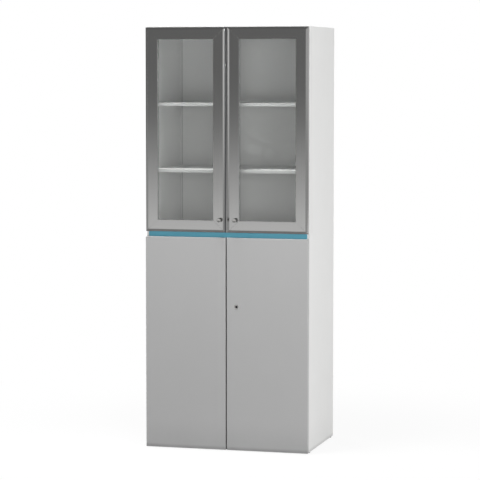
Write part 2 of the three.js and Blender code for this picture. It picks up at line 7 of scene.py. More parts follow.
import bmesh
import bpy
from bpy.props import FloatProperty, FloatVectorProperty, IntProperty, PointerProperty
from mathutils import Matrix, Vector

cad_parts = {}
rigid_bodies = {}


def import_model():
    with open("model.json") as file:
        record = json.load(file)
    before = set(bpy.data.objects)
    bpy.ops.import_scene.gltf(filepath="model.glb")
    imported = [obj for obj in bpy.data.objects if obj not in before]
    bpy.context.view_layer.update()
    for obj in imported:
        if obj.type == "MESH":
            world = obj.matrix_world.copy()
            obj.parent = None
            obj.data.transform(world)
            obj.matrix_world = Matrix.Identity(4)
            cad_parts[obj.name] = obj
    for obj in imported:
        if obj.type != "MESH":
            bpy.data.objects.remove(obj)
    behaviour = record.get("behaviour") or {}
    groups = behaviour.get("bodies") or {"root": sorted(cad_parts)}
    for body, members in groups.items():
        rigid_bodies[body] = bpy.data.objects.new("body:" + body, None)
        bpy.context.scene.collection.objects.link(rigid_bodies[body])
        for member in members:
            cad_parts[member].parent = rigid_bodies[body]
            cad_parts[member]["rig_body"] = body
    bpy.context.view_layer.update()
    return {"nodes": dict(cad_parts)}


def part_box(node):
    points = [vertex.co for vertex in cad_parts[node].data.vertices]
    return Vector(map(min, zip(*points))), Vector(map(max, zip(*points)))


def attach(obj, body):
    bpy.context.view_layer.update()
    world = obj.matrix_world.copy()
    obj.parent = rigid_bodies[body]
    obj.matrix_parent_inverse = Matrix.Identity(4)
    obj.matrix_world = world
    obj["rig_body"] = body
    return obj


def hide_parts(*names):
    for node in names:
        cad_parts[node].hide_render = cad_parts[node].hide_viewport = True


bl_info = {
    "name": "Glass Door Cabinet",
    "version": (1, 0, 0),
    "blender": (4, 5, 0),
    "location": "View3D > Sidebar > Cabinet",
    "description": "Finishes, fittings and studio for a clinic cabinet with glass upper doors",
    "category": "Object",
}

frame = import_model()

MM = 0.001
SIDES = ("left", "right")
SIGN = {"left": -1, "right": 1}
ENDS = ("bottom", "top")
ROWS = ("upper", "lower")
UPWARD = (0, 0, 1)
FORWARD = (0, -1, 0)
REARWARD = (0, 1, 0)
WELD_DISTANCE = 1e-5
FINE_WELD_DISTANCE = 1e-6
SHARP_ANGLE = math.radians(35)
FLAT_ANGLE = math.radians(1)
ROUNDING_STEPS = 2

# Boards of the carcass, and the faces that other pieces are set from
SHELVES = ("upper_shelf_low", "upper_shelf_high", "lower_shelf")
PANELS = ("side_panel_left", "side_panel_right", "top_panel", "bottom_panel", "divider_panel")
BAY_BOARDS = ("bottom_panel", "lower_shelf", "divider_panel", "top_panel")
DOOR_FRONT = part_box("lower_door_right")[0].y
DOOR_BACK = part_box("lower_door_right")[1].y
CARCASS_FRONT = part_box("side_panel_right")[0].y
SHELF_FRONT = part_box("upper_shelf_low")[0].y
BACK_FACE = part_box("back_panel")[1].y
AHEAD_OF_DOORS = DOOR_FRONT - 100 * MM  # an edge band here falls on no board

# Grey strips over the joints of the back panel with the sides, painting the shade of the rear
# corners
JOINT_OFFSET = 5.5 * MM
JOINT_HEIGHT = 1.2 * MM

# The bevelled lip of the upper frames, and the trim where those doors meet
LIP_DEPTH = 7.5 * MM
LIP_WIDTH = 13 * MM
TRIM_SEAT = 0.1 * MM
TRIM_STOP = 2 * MM
SEAL_FACE = 0.9 * MM
SEAL_NOSE = 0.5 * MM
SEAL_SHOULDER = 0.3 * MM
SEAL_REACH = 1.4 * MM
STRIP_FRONT = 8 * MM
STRIP_REACH = 3.2 * MM
STRIP_LEAF = 1.5 * MM
STRIP_STEM = 1.6 * MM

# Places of screws and soft stops
HINGE_PLATE = 2.7 * MM
PLATE_SCREW_INSET = 22 * MM
PLATE_SCREW_RISE = 12 * MM
EAR_SCREW_RISE = 22.6 * MM
BACK_SCREW_COLUMNS = 4
BACK_SCREW_SPACING = 230 * MM
BUMPER_FROM_CENTRE = 24 * MM
LOWER_BUMPER_LIFT = 2 * MM

# A pan-head screw, as shares of its radius and height, with its cross in widths of half an arm
SCREW_SIDES = 24
SCREW_CROWN = 0.72
SCREW_SHOULDER = 0.55
RECESS_ARM = 0.085
RECESS_TAPER = 0.7
RECESS_DEPTH = 0.6
CROSS = (
    (5, -1), (5, 1), (1, 1), (1, 5), (-1, 5), (-1, 1),
    (-5, 1), (-5, -1), (-1, -1), (-1, -5), (1, -5), (1, -1),
)

# Profiles of turned fittings, as radius and height in millimetres
KNOB_PROFILE = (
    (0, 0), (6.2, 0), (6.2, 0.9), (5.0, 1.3), (4.5, 3), (4.7, 6), (5.6, 7.6), (8.2, 8.6),
    (9.6, 9.6), (10, 11), (10, 20), (9.4, 21.3), (8.3, 22), (7.4, 21.9), (6.4, 21.55), (0, 21.4),
)
KNOB_EDGE = 0.15 * MM
GLIDE_PROFILE = ((0, 0), (6.3, 0), (7.4, 0.4), (8, 1.5), (8, 5), (0, 5))
GLIDE_EDGE = 0.2 * MM
LOCK_BORE = 6.3
LOCK_BARREL = 9.0
LOCK_RIM = (
    (LOCK_BORE, -1.5), (10.0, -1.5), (10.6, -1.3), (11.0, -0.8), (11.0, 0), (LOCK_BARREL, 0),
)
THREAD_ROOT = 8.45
THREAD_PITCH = 1.25
THREAD_RUN_IN = 1
CAM_SCREW_RADIUS = 4.6 * MM
CAM_SCREW_HEIGHT = 2.2 * MM

# The profile of a soft stop, as shares of its radius and height
BUMPER_SHARES = ((0, 0), (1, 0), (1, 0.35), (0.9, 0.7), (0.62, 0.94), (0, 1))

# Studio
WHITE = (1, 1, 1, 1)
FLOOR_SPAN = 800
FLOOR_LEVELS = (240, 246)
FLOOR_BOUNCE_LEVEL = 130
FLOOR_FADE = (2.4, 0.5)
NET_SIZE = (1.4, 0.74)
NET_PLACE = (0, 0.075, 2.09)
NET_SHARE = 0.25
SENSOR_WIDTH = 36
FAR_CLIP = 200


def tone(red, green, blue):
    """A colour given in screen values of 0 to 255, as the linear colour that a shader takes."""
    return tuple(
        (level / 255 / 12.92) if level <= 10 else ((level / 255 + 0.055) / 1.055) ** 2.4
        for level in (red, green, blue)
    )


def shaded(colour, share):
    """A linear colour made darker or lighter by a share, with its alpha."""
    return (*(min(part * share, 1) for part in colour[:3]), 1)


def even_grey(level):
    """A linear grey, with its alpha. Above 1 it shines more than white."""
    return (level, level, level, 1)


def screen_grey(level):
    """A grey given in screen values of 0 to 255, with its alpha."""
    return (*tone(level, level, level), 1)


class CabinetLooks(bpy.types.PropertyGroup):
    """Colours and surface values of the cabinet's finishes."""

    white: FloatVectorProperty(
        name="White board", description="Colour of the carcass boards",
        subtype="COLOR", min=0, max=1, default=tone(226, 226, 225))
    shelf: FloatVectorProperty(
        name="Shelf board", description="Colour of the shelves",
        subtype="COLOR", min=0, max=1, default=tone(222, 222, 221))
    back: FloatVectorProperty(
        name="Back panel", description="Colour of the thin back panel",
        subtype="COLOR", min=0, max=1, default=tone(212, 212, 211))
    grey: FloatVectorProperty(
        name="Grey board", description="Colour of the plain lower doors",
        subtype="COLOR", min=0, max=1, default=tone(181, 181, 181))
    frame: FloatVectorProperty(
        name="Frame metal", description="Colour of the glass doors' satin frames",
        subtype="COLOR", min=0, max=1, default=tone(178, 178, 177))
    frame_roughness: FloatProperty(
        name="Frame roughness", description="How much the satin frames blur what they mirror",
        subtype="FACTOR", min=0, max=1, default=0.17)
    glass: FloatVectorProperty(
        name="Glass tint", description="What each face of the panes lets through",
        subtype="COLOR", min=0, max=1, default=(0.952, 0.960, 0.957))
    # The gaskets' light grey is a painted highlight along the panes' lit edges.
    gasket: FloatVectorProperty(
        name="Gasket", description="Colour of the rubber round the panes",
        subtype="COLOR", min=0, max=1, default=tone(196, 197, 196))
    strip: FloatVectorProperty(
        name="Accent strip", description="Colour of the strip between the doors",
        subtype="COLOR", min=0, max=1, default=tone(93, 166, 188))
    nickel: FloatVectorProperty(
        name="Satin nickel", description="Colour of the knobs, the lock and the shelf supports",
        subtype="COLOR", min=0, max=1, default=tone(176, 175, 173))
    steel: FloatVectorProperty(
        name="Hinge steel", description="Colour of the plated hinges, cam, bolt and screws",
        subtype="COLOR", min=0, max=1, default=tone(186, 186, 184))
    dark: FloatVectorProperty(
        name="Lock plug", description="Colour of the blackened lock plug",
        subtype="COLOR", min=0, max=1, default=tone(20, 20, 22))
    plastic: FloatVectorProperty(
        name="Glide plastic", description="Colour of the glides under the sides",
        subtype="COLOR", min=0, max=1, default=tone(96, 96, 98))
    # The seal's dark grey is painted shade of the gap between the upper doors.
    seal: FloatVectorProperty(
        name="Dust seal", description="Colour of the rubber seal where the upper doors meet",
        subtype="COLOR", min=0, max=1, default=tone(80, 81, 82))
    # The joint strips' grey is painted shade of the rear corners.
    joint: FloatVectorProperty(
        name="Joint strips", description="Colour of the strips in the rear corners",
        subtype="COLOR", min=0, max=1, default=tone(176, 176, 175))
    bumper: FloatVectorProperty(
        name="Soft stops", description="Colour of the soft stops behind the doors",
        subtype="COLOR", min=0, max=1, default=tone(206, 206, 202))


class CabinetTrim(bpy.types.PropertyGroup):
    """Sizes of the small pieces and edges."""

    board_edge: FloatProperty(
        name="Board edge", description="Rounding of the carcass boards' edges",
        unit="LENGTH", min=0, default=0.7 * MM)
    frame_edge: FloatProperty(
        name="Frame edge", description="Rounding of the frame profile's edges",
        unit="LENGTH", min=0, default=0.35 * MM)
    fitting_edge: FloatProperty(
        name="Fitting edge", description="Rounding of the hinges', cam's and bolt's edges",
        unit="LENGTH", min=0, default=0.2 * MM)
    turning_steps: IntProperty(
        name="Turning steps", description="Faces round a turned fitting",
        min=12, max=128, default=48)
    screw_radius: FloatProperty(
        name="Screw radius", description="Radius of a screw's head",
        unit="LENGTH", min=0.001, default=3.4 * MM)
    screw_height: FloatProperty(
        name="Screw height", description="Height of a screw's head",
        unit="LENGTH", min=0.0005, default=1.3 * MM)
    seal_lap: FloatProperty(
        name="Seal lap", description="Width of the frame's lip that the dust seal covers",
        unit="LENGTH", min=0.001, default=5 * MM)
    joint_width: FloatProperty(
        name="Joint width", description="Width of the joint strips in the rear corners",
        unit="LENGTH", min=0.001, default=5.5 * MM)
    bumper_radius: FloatProperty(
        name="Bumper radius", description="Radius of the soft stops behind the doors",
        unit="LENGTH", min=0.001, default=4 * MM)
    bumper_height: FloatProperty(
        name="Bumper height", description="Height of the soft stops behind the doors",
        unit="LENGTH", min=0.0005, default=2.4 * MM)


class CabinetStage(bpy.types.PropertyGroup):
    """The camera, the lamps and the surroundings."""

    camera_place: FloatVectorProperty(
        name="Camera place", description="Where the camera stands",
        subtype="TRANSLATION", unit="LENGTH", default=(2.7642, -10.0506, 1.8088))
    camera_turn: FloatProperty(
        name="Camera turn", description="Turn of the view from straight on, to the left",
        subtype="ANGLE", default=math.radians(15.389))
    camera_dip: FloatProperty(
        name="Camera dip", description="How far the view looks down",
        subtype="ANGLE", default=math.radians(4.479))
    lens: FloatProperty(
        name="Lens", description="Focal length on a 36 mm square sensor",
        unit="CAMERA", min=1, default=161.36)
    ambient: FloatProperty(
        name="Ambient light", description="Even light from all round",
        min=0, default=0.17)
    side_power: FloatProperty(
        name="Side lamp", description="Power of the large lamp on the right",
        subtype="POWER", unit="POWER", min=0, default=127)
    top_power: FloatProperty(
        name="Top lamp", description="Power of the lamp above the front",
        subtype="POWER", unit="POWER", min=0, default=104)
    fill_power: FloatProperty(
        name="Fill lamp", description="Power of the low lamp in front, on the right",
        subtype="POWER", unit="POWER", min=0, default=96)
    left_power: FloatProperty(
        name="Left lamp", description="Power of the low lamp in front, on the left",
        subtype="POWER", unit="POWER", min=0, default=51)
    corner_power: FloatProperty(
        name="Corner lamp", description="Power of the lamp off the right front corner",
        subtype="POWER", unit="POWER", min=0, default=86)
    back_power: FloatProperty(
        name="Back lamp", description="Power of the lamp behind, on the left",
        subtype="POWER", unit="POWER", min=0, default=190)
    bay_power: FloatProperty(
        name="Bay lamp", description="Power of the narrow lamp aimed into the top bay",
        subtype="POWER", unit="POWER", min=0, default=0.8)
    floor_show: FloatProperty(
        name="Floor shadow", description="Share of the floor's own shading that is seen",
        subtype="FACTOR", min=0, max=1, default=0.09)


class Field:
    """A number that changes over a surface. Sums with it add Math nodes to its tree."""

    def __init__(self, tree, socket):
        self.tree = tree
        self.socket = socket

    def _sum(self, operation, first, second):
        return self.tree.node("ShaderNodeMath", {"operation": operation}, {0: first, 1: second})

    def __add__(self, other):
        return self._sum("ADD", self, other)

    __radd__ = __add__

    def __sub__(self, other):
        return self._sum("SUBTRACT", self, other)

    def __rsub__(self, other):
        return self._sum("SUBTRACT", other, self)

    def __mul__(self, other):
        return self._sum("MULTIPLY", self, other)

    __rmul__ = __mul__

    def larger(self, other):
        return self._sum("MAXIMUM", self, other)


class NodeTree:
    """Builds the nodes of one material or of the world."""

    def __init__(self, owner):
        owner.use_nodes = True
        self.nodes = owner.node_tree.nodes
        self.links = owner.node_tree.links
        self.nodes.clear()

    def node(self, kind, settings=None, sockets=None, out=0):
        """Adds a node: its settings first, then the values or links of its sockets."""
        made = self.nodes.new(kind)
        for name, value in (settings or {}).items():
            setattr(made, name, value)
        for name, value in (sockets or {}).items():
            if isinstance(value, Field):
                self.links.new(value.socket, made.inputs[name])
            else:
                made.inputs[name].default_value = value
        return Field(self, made.outputs[out]) if made.outputs else None


class Finish(NodeTree):
    """One procedural material on a principled shader, read from object coordinates."""

    def __init__(self, name):
        self.material = bpy.data.materials.new(name)
        super().__init__(self.material)
        self.place = self.node("ShaderNodeTexCoord", out="Object")

    def axis(self, name):
        return self.node("ShaderNodeSeparateXYZ", {}, {"Vector": self.place}, name)

    def noise(self, scale, detail, stretch=(1, 1, 1)):
        spread = self.node("ShaderNodeMapping", {}, {"Vector": self.place, "Scale": stretch})
        sockets = {"Vector": spread, "Scale": scale, "Detail": detail}
        return self.node("ShaderNodeTexNoise", {}, sockets, "Fac")

    def rise(self, value, low, high):
        """0 below low, 1 above high, and a smooth step between; turned round if high < low."""
        if high < low:
            return 1 - self.rise(value, high, low)
        settings = {"interpolation_type": "SMOOTHSTEP"}
        sockets = {"Value": value, "From Min": low, "From Max": high}
        return self.node("ShaderNodeMapRange", settings, sockets, "Result")

    def mix(self, factor, first, second):
        settings = {"data_type": "RGBA", "clamp_factor": True}
        return self.node("ShaderNodeMix", settings, {0: factor, 6: first, 7: second}, 2)

    def bump(self, height, distance, strength):
        sockets = {"Height": height, "Distance": distance, "Strength": strength}
        return self.node("ShaderNodeBump", {}, sockets, "Normal")

    def principled(self, **sockets):
        named = {name.replace("_", " "): value for name, value in sockets.items()}
        return self.node("ShaderNodeBsdfPrincipled", {}, named)

    def show(self, shader):
        self.node("ShaderNodeOutputMaterial", {}, {"Surface": shader})
        return self.material

    def shine(self, **sockets):
        return self.show(self.principled(**sockets))


def board_finish(name, colour, gloss, band_front, band_tone_and_shade=1.08, foot_shade_share=0.88):
    """Melamine board: a faint pearl grain, slow clouding, a smoother edge band, and painted shade
    darkening its foot.
    """
    finish = Finish(name)
    clouds = finish.noise(scale=2.6, detail=3)
    patches = finish.noise(scale=14, detail=3)
    pearl = finish.noise(scale=1300, detail=1)
    depth = finish.axis("Y")
    height = finish.axis("Z")
    # Painted shade: the board darkens towards the floor, and more along its bottom edge.
    foot = finish.rise(height, low=0.16, high=0.0)
    bottom_edge_shade = finish.rise(height, low=0.026, high=0.01)
    band = finish.rise(depth, low=band_front + 1.8 * MM, high=band_front + 1.2 * MM)
    body = finish.mix(clouds, shaded(colour, 0.965), shaded(colour, 1.02))
    body = finish.mix(patches * 0.25, body, shaded(colour, 0.95))
    # Edge band colour: its own lighter tone on the carcass boards, and painted shade on the shelves'
    # front edges.
    body = finish.mix(band * 0.7, body, shaded(colour, band_tone_and_shade))
    body = finish.mix(foot * (0.2 + patches * 0.3), body, shaded(colour, foot_shade_share))
    body = finish.mix(bottom_edge_shade * (0.5 + patches * 0.3), body, shaded(colour, foot_shade_share * 0.75))
    roughness = gloss + patches * 0.12 - band * 0.1
    grain = finish.bump(pearl * (1 - band), distance=0.05 * MM, strength=0.35)
    return finish.shine(Base_Color=body, Roughness=roughness, Normal=grain, Specular_IOR_Level=0.4)


def brushed_finish(name, colour, roughness, stretch):
    """Satin metal with fine brushing along one direction."""
    finish = Finish(name)
    streaks = finish.noise(scale=1.0, detail=3, stretch=stretch)
    wide = finish.noise(scale=0.18, detail=2, stretch=stretch)
    handling = finish.noise(scale=9, detail=3)
    body = finish.mix(streaks * 0.5 + wide * 0.5, shaded(colour, 0.93), shaded(colour, 1.06))
    rough = roughness + streaks * 0.05 + handling * 0.05 - 0.05
    brushing = finish.bump(streaks, distance=0.02 * MM, strength=0.25)
    return finish.shine(Base_Color=body, Roughness=rough, Metallic=1.0, Normal=brushing)


def plated_finish(name, colour, roughness):
    """Plated steel: slightly clouded, with small handling marks."""
    finish = Finish(name)
    clouds = finish.noise(scale=60, detail=3)
    specks = finish.noise(scale=900, detail=2)
    body = finish.mix(clouds, shaded(colour, 0.9), shaded(colour, 1.05))
    rough = roughness + clouds * 0.1 + specks * 0.05 - 0.06
    skin = finish.bump(specks, distance=0.02 * MM, strength=0.3)
    return finish.shine(Base_Color=body, Roughness=rough, Metallic=1.0, Normal=skin)


def moulded_finish(name, colour, roughness, grain):
    """Moulded plastic or rubber with a fine skin texture."""
    finish = Finish(name)
    skin = finish.noise(scale=grain, detail=2)
    clouds = finish.noise(scale=12, detail=3)
    body = finish.mix(clouds * 0.6 + skin * 0.4, shaded(colour, 0.93), shaded(colour, 1.06))
    rough = roughness + clouds * 0.1 - 0.05
    texture = finish.bump(skin, distance=0.04 * MM, strength=0.4)
    return finish.shine(Base_Color=body, Roughness=rough, Normal=texture)


def white_melamine():
    return board_finish("white_melamine", looks().white, gloss=0.38, band_front=CARCASS_FRONT)


def shelf_melamine():
    # The shelves' front edges are drawn darker than their faces: painted shade.
    return board_finish(
        "shelf_melamine", looks().shelf, gloss=0.38, band_front=SHELF_FRONT, band_tone_and_shade=0.55)


def back_melamine():
    return board_finish("back_melamine", looks().back, gloss=0.42, band_front=CARCASS_FRONT)


def grey_melamine():
    """The lower doors' board, which has no edge band in front."""
    # The lower doors get a stronger painted shade at their foot.
    return board_finish(
        "grey_melamine", looks().grey, gloss=0.4, band_front=AHEAD_OF_DOORS, foot_shade_share=0.7)


def stile_metal():
    return brushed_finish("stile_metal", looks().frame, looks().frame_roughness, (1500, 1500, 9))


def rail_metal():
    return brushed_finish("rail_metal", looks().frame, looks().frame_roughness, (9, 1500, 1500))


def nickel_plate():
    return plated_finish("nickel_plate", looks().nickel, roughness=0.22)


def zinc_plate():
    return plated_finish("zinc_plate", looks().steel, roughness=0.26)


def black_plate():
    return plated_finish("black_plate", looks().dark, roughness=0.34)


def gasket_rubber():
    # Light grey rubber: a painted highlight along the panes' edges.
    return moulded_finish("gasket_rubber", looks().gasket, roughness=0.62, grain=1600)


def seal_rubber():
    return moulded_finish("seal_rubber", looks().seal, roughness=0.7, grain=1500)


def joint_plastic():
    return moulded_finish("joint_plastic", looks().joint, roughness=0.5, grain=1300)


def glide_moulding():
    return moulded_finish("glide_moulding", looks().plastic, roughness=0.55, grain=1400)


def bumper_rubber():
    return moulded_finish("bumper_rubber", looks().bumper, roughness=0.4, grain=1200)


def strip_plastic():
    """The accent strip: extruded plastic with faint draw lines along it."""
    finish = Finish("strip_plastic")
    colour = looks().strip
    lines = finish.noise(scale=1.0, detail=2, stretch=(4, 1200, 1200))
    clouds = finish.noise(scale=5, detail=3)
    body = finish.mix(lines * 0.5 + clouds * 0.5, shaded(colour, 0.93), shaded(colour, 1.07))
    rough = 0.34 + clouds * 0.12
    drawn = finish.bump(lines, distance=0.03 * MM, strength=0.3)
    return finish.shine(Base_Color=body, Roughness=rough, Normal=drawn, Specular_IOR_Level=0.4)


def pane_glass():
    """Float glass that lets the lamps through, with a faint film of wiping marks."""
    finish = Finish("pane_glass")
    tint = (*looks().glass, 1)
    wiped = finish.rise(finish.noise(scale=7, detail=4, stretch=(1, 1, 0.35)), low=0.55, high=0.8)
    clear = finish.principled(
        Base_Color=tint, Roughness=0.015 + wiped * 0.05, IOR=1.5, Transmission_Weight=1.0)
    lit = finish.node("ShaderNodeBsdfTransparent", {}, {"Color": tint})
    rays = finish.node("ShaderNodeLightPath", out="Is Shadow Ray")
    rays = rays.larger(finish.node("ShaderNodeLightPath", out="Is Diffuse Ray"))
    return finish.show(finish.node("ShaderNodeMixShader", {}, {0: rays, 1: clear, 2: lit}))


def looks():
    return bpy.context.scene.cabinet_looks


def trim():
    return bpy.context.scene.cabinet_trim


def made(maker):
    """The material that a function makes, made once and named for the function."""
    return bpy.data.materials.get(maker.__name__) or maker()


def dress(nodes, maker, edge=0.0):
    """Gives CAD nodes a finish, and a rounding to their edges."""
    for name in nodes:
        node = frame["nodes"][name]
        node.data.materials.clear()
        node.data.materials.append(made(maker))
        if edge:
            weld = node.modifiers.new("Joined corners", "WELD")
            weld.merge_threshold = WELD_DISTANCE
            rounding = node.modifiers.new("Rounded edges", "BEVEL")
            rounding.width = edge
            rounding.segments = ROUNDING_STEPS
            rounding.limit_method = "ANGLE"
            rounding.angle_limit = SHARP_ANGLE


def new_piece(name, shape, body, maker, stands_for=()):
    """Makes a finished bmesh into a piece at the origin that rides on a body."""
    mesh = bpy.data.meshes.new(name)
    shape.to_mesh(mesh)
    shape.free()
    mesh.materials.append(made(maker))
    for face in mesh.polygons:
        face.use_smooth = True
    mesh.set_sharp_from_angle(angle=SHARP_ANGLE)
    piece = bpy.data.objects.new(name, mesh)
    bpy.context.scene.collection.objects.link(piece)
    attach(piece, body)
    if stands_for:
        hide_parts(*stands_for)


def body_of(node):
    return frame["nodes"][node]["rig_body"]


def round_off(shape, width):
    """Bevels the sharp edges of a bmesh."""
    sharp = [
        edge for edge in shape.edges
        if edge.is_manifold and edge.calc_face_angle() > SHARP_ANGLE
    ]
    bmesh.ops.bevel(
        shape, geom=sharp, offset=width, offset_type="OFFSET", affect="EDGES",
        segments=ROUNDING_STEPS, profile=0.5, material=-1, clamp_overlap=True)


def dressed_copy(node, maker, edge):
    """Adds a copy of a CAD node with rounded edges and smooth round faces, which stands for it."""
    shape = bmesh.new()
    shape.from_mesh(frame["nodes"][node].data)
    bmesh.ops.remove_doubles(shape, verts=shape.verts, dist=WELD_DISTANCE)
    bmesh.ops.dissolve_limit(
        shape, angle_limit=FLAT_ANGLE, verts=shape.verts, edges=shape.edges)
    round_off(shape, edge)
    new_piece(f"{node}_shown", shape, body_of(node), maker, [node])


def turned(profile, place, axis, edge=0.0, closed=False):
    """A form turned round an axis from a profile of radius and height in millimetres."""
    shape = bmesh.new()
    corners = [shape.verts.new((radius * MM, 0, height * MM)) for radius, height in profile]
    lines = [shape.edges.new(pair) for pair in zip(corners, corners[1:])]
    if closed:
        lines.append(shape.edges.new((corners[-1], corners[0])))
    bmesh.ops.spin(
        shape, geom=corners + lines, cent=(0, 0, 0), axis=UPWARD, angle=math.tau,
        steps=trim().turning_steps, use_merge=True)
    bmesh.ops.remove_doubles(shape, verts=shape.verts, dist=FINE_WELD_DISTANCE)
    bmesh.ops.recalc_face_normals(shape, faces=shape.faces)
    if edge:
        round_off(shape, edge)
    return moved(shape, place, axis)


def moved(shape, place, axis):
    """Turns a bmesh that stands on the origin to face along an axis, and puts it in place."""
    turn = Vector(UPWARD).rotation_difference(Vector(axis)).to_matrix().to_4x4()
    bmesh.ops.transform(shape, matrix=Matrix.Translation(place) @ turn, verts=shape.verts)
    return shape


def gathered(shapes):
    """Several bmeshes as one."""
    whole = bmesh.new()
    for shape in shapes:
        part = bpy.data.meshes.new("part")
        shape.to_mesh(part)
        shape.free()
        whole.from_mesh(part)
        bpy.data.meshes.remove(part)
    return whole


def loop(shape, points):
    """A closed ring of edges through points."""
    corners = [shape.verts.new(point) for point in points]
    return [shape.edges.new(pair) for pair in zip(corners, corners[1:] + corners[:1])]


def upright(plan, low, high):
    """A straight profile that stands between two heights, from its outline in plan."""
    shape = bmesh.new()
    outline = loop(shape, [(x, y, low) for x, y in plan])
    foot = bmesh.ops.edgeloop_fill(shape, edges=outline)["faces"]
    drawn = bmesh.ops.extrude_face_region(shape, geom=foot)["geom"]
    top = [item for item in drawn if isinstance(item, bmesh.types.BMVert)]
    bmesh.ops.translate(shape, vec=(0, 0, high - low), verts=top)
    bmesh.ops.recalc_face_normals(shape, faces=shape.faces)
    return shape


def screw(place, axis, radius, height):
    """A pan-head screw with a cross recess, standing on a face."""
    shape = bmesh.new()
    crown = radius * SCREW_CROWN
    arm = radius * RECESS_ARM
    angles = [step * math.tau / SCREW_SIDES for step in range(SCREW_SIDES)]
    rim = loop(shape, [(crown * math.cos(turn), crown * math.sin(turn), height) for turn in angles])
    cross = loop(shape, [(x * arm, y * arm, height) for x, y in CROSS])
    bmesh.ops.bridge_loops(shape, edges=rim + cross)
    recess = bmesh.ops.edgeloop_fill(shape, edges=cross)["faces"]
    sunk = bmesh.ops.extrude_face_region(shape, geom=recess)["geom"]
    floor = [item for item in sunk if isinstance(item, bmesh.types.BMVert)]
    bmesh.ops.scale(shape, vec=(RECESS_TAPER, RECESS_TAPER, 1), verts=floor)
    bmesh.ops.translate(shape, vec=(0, 0, -RECESS_DEPTH * height), verts=floor)
    bmesh.ops.delete(shape, geom=recess, context="FACES_ONLY")
    for spread, level in ((1 / SCREW_CROWN, SCREW_SHOULDER * height), (1, 0)):
        drawn = bmesh.ops.extrude_edge_only(shape, edges=rim)["geom"]
        rim = [item for item in drawn if isinstance(item, bmesh.types.BMEdge)]
        outer = [item for item in drawn if isinstance(item, bmesh.types.BMVert)]
        bmesh.ops.scale(shape, vec=(spread, spread, 1), verts=outer)
        bmesh.ops.translate(shape, vec=(0, 0, level - outer[0].co.z), verts=outer)
    bmesh.ops.edgeloop_fill(shape, edges=rim)
    bmesh.ops.recalc_face_normals(shape, faces=shape.faces)
    return moved(shape, place, axis)


def plain_screw(place, axis):
    """A screw of the size that most fittings have."""
    return screw(place, axis, trim().screw_radius, trim().screw_height)


def centre_of(node):
    low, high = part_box(node)
    return (low + high) / 2


def hinge_names(row, side):
    return [f"{row}_{side}_{end}" for end in ENDS]


class CABINET_OT_carcass(bpy.types.Operator):
    """Finish the boards of the carcass and its shelves"""

    bl_idname = "cabinet.carcass"
    bl_label = "Carcass boards"

    def execute(self, context):
        dress(PANELS, white_melamine, trim().board_edge)
        dress(SHELVES, shelf_melamine, trim().board_edge)
        dress(["back_panel"], back_melamine, trim().frame_edge)
        self.joint_strips()
        return {"FINISHED"}

    def joint_strips(self):
        """Thin grey strips over the joint of the back panel with the sides, bay by bay, that paint
        the shade of the rear corners.
        """
        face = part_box("back_panel")[0].y
        raised = face - JOINT_HEIGHT
        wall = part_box("side_panel_right")[0].x - JOINT_OFFSET
        boards = [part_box(name) for name in BAY_BOARDS]
        strips = []
        for below, above in zip(boards, boards[1:]):
            for sign in SIGN.values():
                inner = sign * (wall - trim().joint_width)
                outer = sign * wall
                plan = [(inner, face), (inner, raised), (outer, raised), (outer, face)]
                strips.append(upright(plan, below[1].z, above[0].z))
        new_piece("joint_strips", gathered(strips), "carcass", joint_plastic)


class CABINET_OT_accent_strip(bpy.types.Operator):
    """Finish the coloured strip between the doors"""

    bl_idname = "cabinet.accent_strip"
    bl_label = "Accent strip"

    def execute(self, context):
        dress(["accent_strip"], strip_plastic, trim().frame_edge)
        return {"FINISHED"}


class CABINET_OT_glass_doors(bpy.types.Operator):
    """Finish the frames, panes and gaskets of the upper doors"""

    bl_idname = "cabinet.glass_doors"
    bl_label = "Glass doors"

    def execute(self, context):
        for side in SIDES:
            stiles = [f"frame_{side}_outer_stile", f"frame_{side}_inner_stile"]
            rails = [f"frame_{side}_top_rail", f"frame_{side}_bottom_rail"]
            dress(stiles, stile_metal, trim().frame_edge)
            dress(rails, rail_metal, trim().frame_edge)
            dress([f"glass_{side}"], pane_glass)
            dress([f"gasket_{side}"], gasket_rubber)
        self.edge_seal()
        self.meeting_strip()
        return {"FINISHED"}

    def edge_seal(self):
        """A dark rubber dust seal that wraps the lip and the edge of the left door; its dark grey is
        painted shade of the gap where the upper doors meet.
        """
        low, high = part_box("frame_left_inner_stile")
        lap = trim().seal_lap
        lip = low.y + LIP_DEPTH
        climb = lap * LIP_DEPTH / LIP_WIDTH
        edge = high.x
        back = high.y - TRIM_STOP
        plan = [
            (edge - lap, lip - climb - TRIM_SEAT), (edge - lap, lip - climb - SEAL_FACE),
            (edge + SEAL_FACE, lip - SEAL_NOSE), (edge + SEAL_REACH, lip + SEAL_SHOULDER),
            (edge + SEAL_REACH, back), (edge + TRIM_SEAT, back), (edge + TRIM_SEAT, lip - TRIM_SEAT),
        ]
        shape = upright(plan, low.z, high.z)
        new_piece("edge_seal", shape, "upper_left_door", seal_rubber)

    def meeting_strip(self):
        """A flat metal strip on the edge of the right door, which closes most of the gap."""
        low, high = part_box("frame_right_inner_stile")
        front = low.y + STRIP_FRONT
        back = high.y - TRIM_STOP
        seat = low.x - TRIM_SEAT
        reach = low.x - STRIP_REACH
        stem = low.x - STRIP_STEM
        plan = [
            (seat, front), (reach, front), (reach, front + STRIP_LEAF),
            (stem, front + STRIP_LEAF), (stem, back), (seat, back),
        ]
        shape = upright(plan, low.z, high.z)
        new_piece("meeting_strip", shape, "upper_right_door", stile_metal)


class CABINET_OT_lower_doors(bpy.types.Operator):
    """Finish the plain lower doors"""

    bl_idname = "cabinet.lower_doors"
    bl_label = "Lower doors"

    def execute(self, context):
        dress([f"lower_door_{side}" for side in SIDES], grey_melamine, trim().frame_edge)
        return {"FINISHED"}


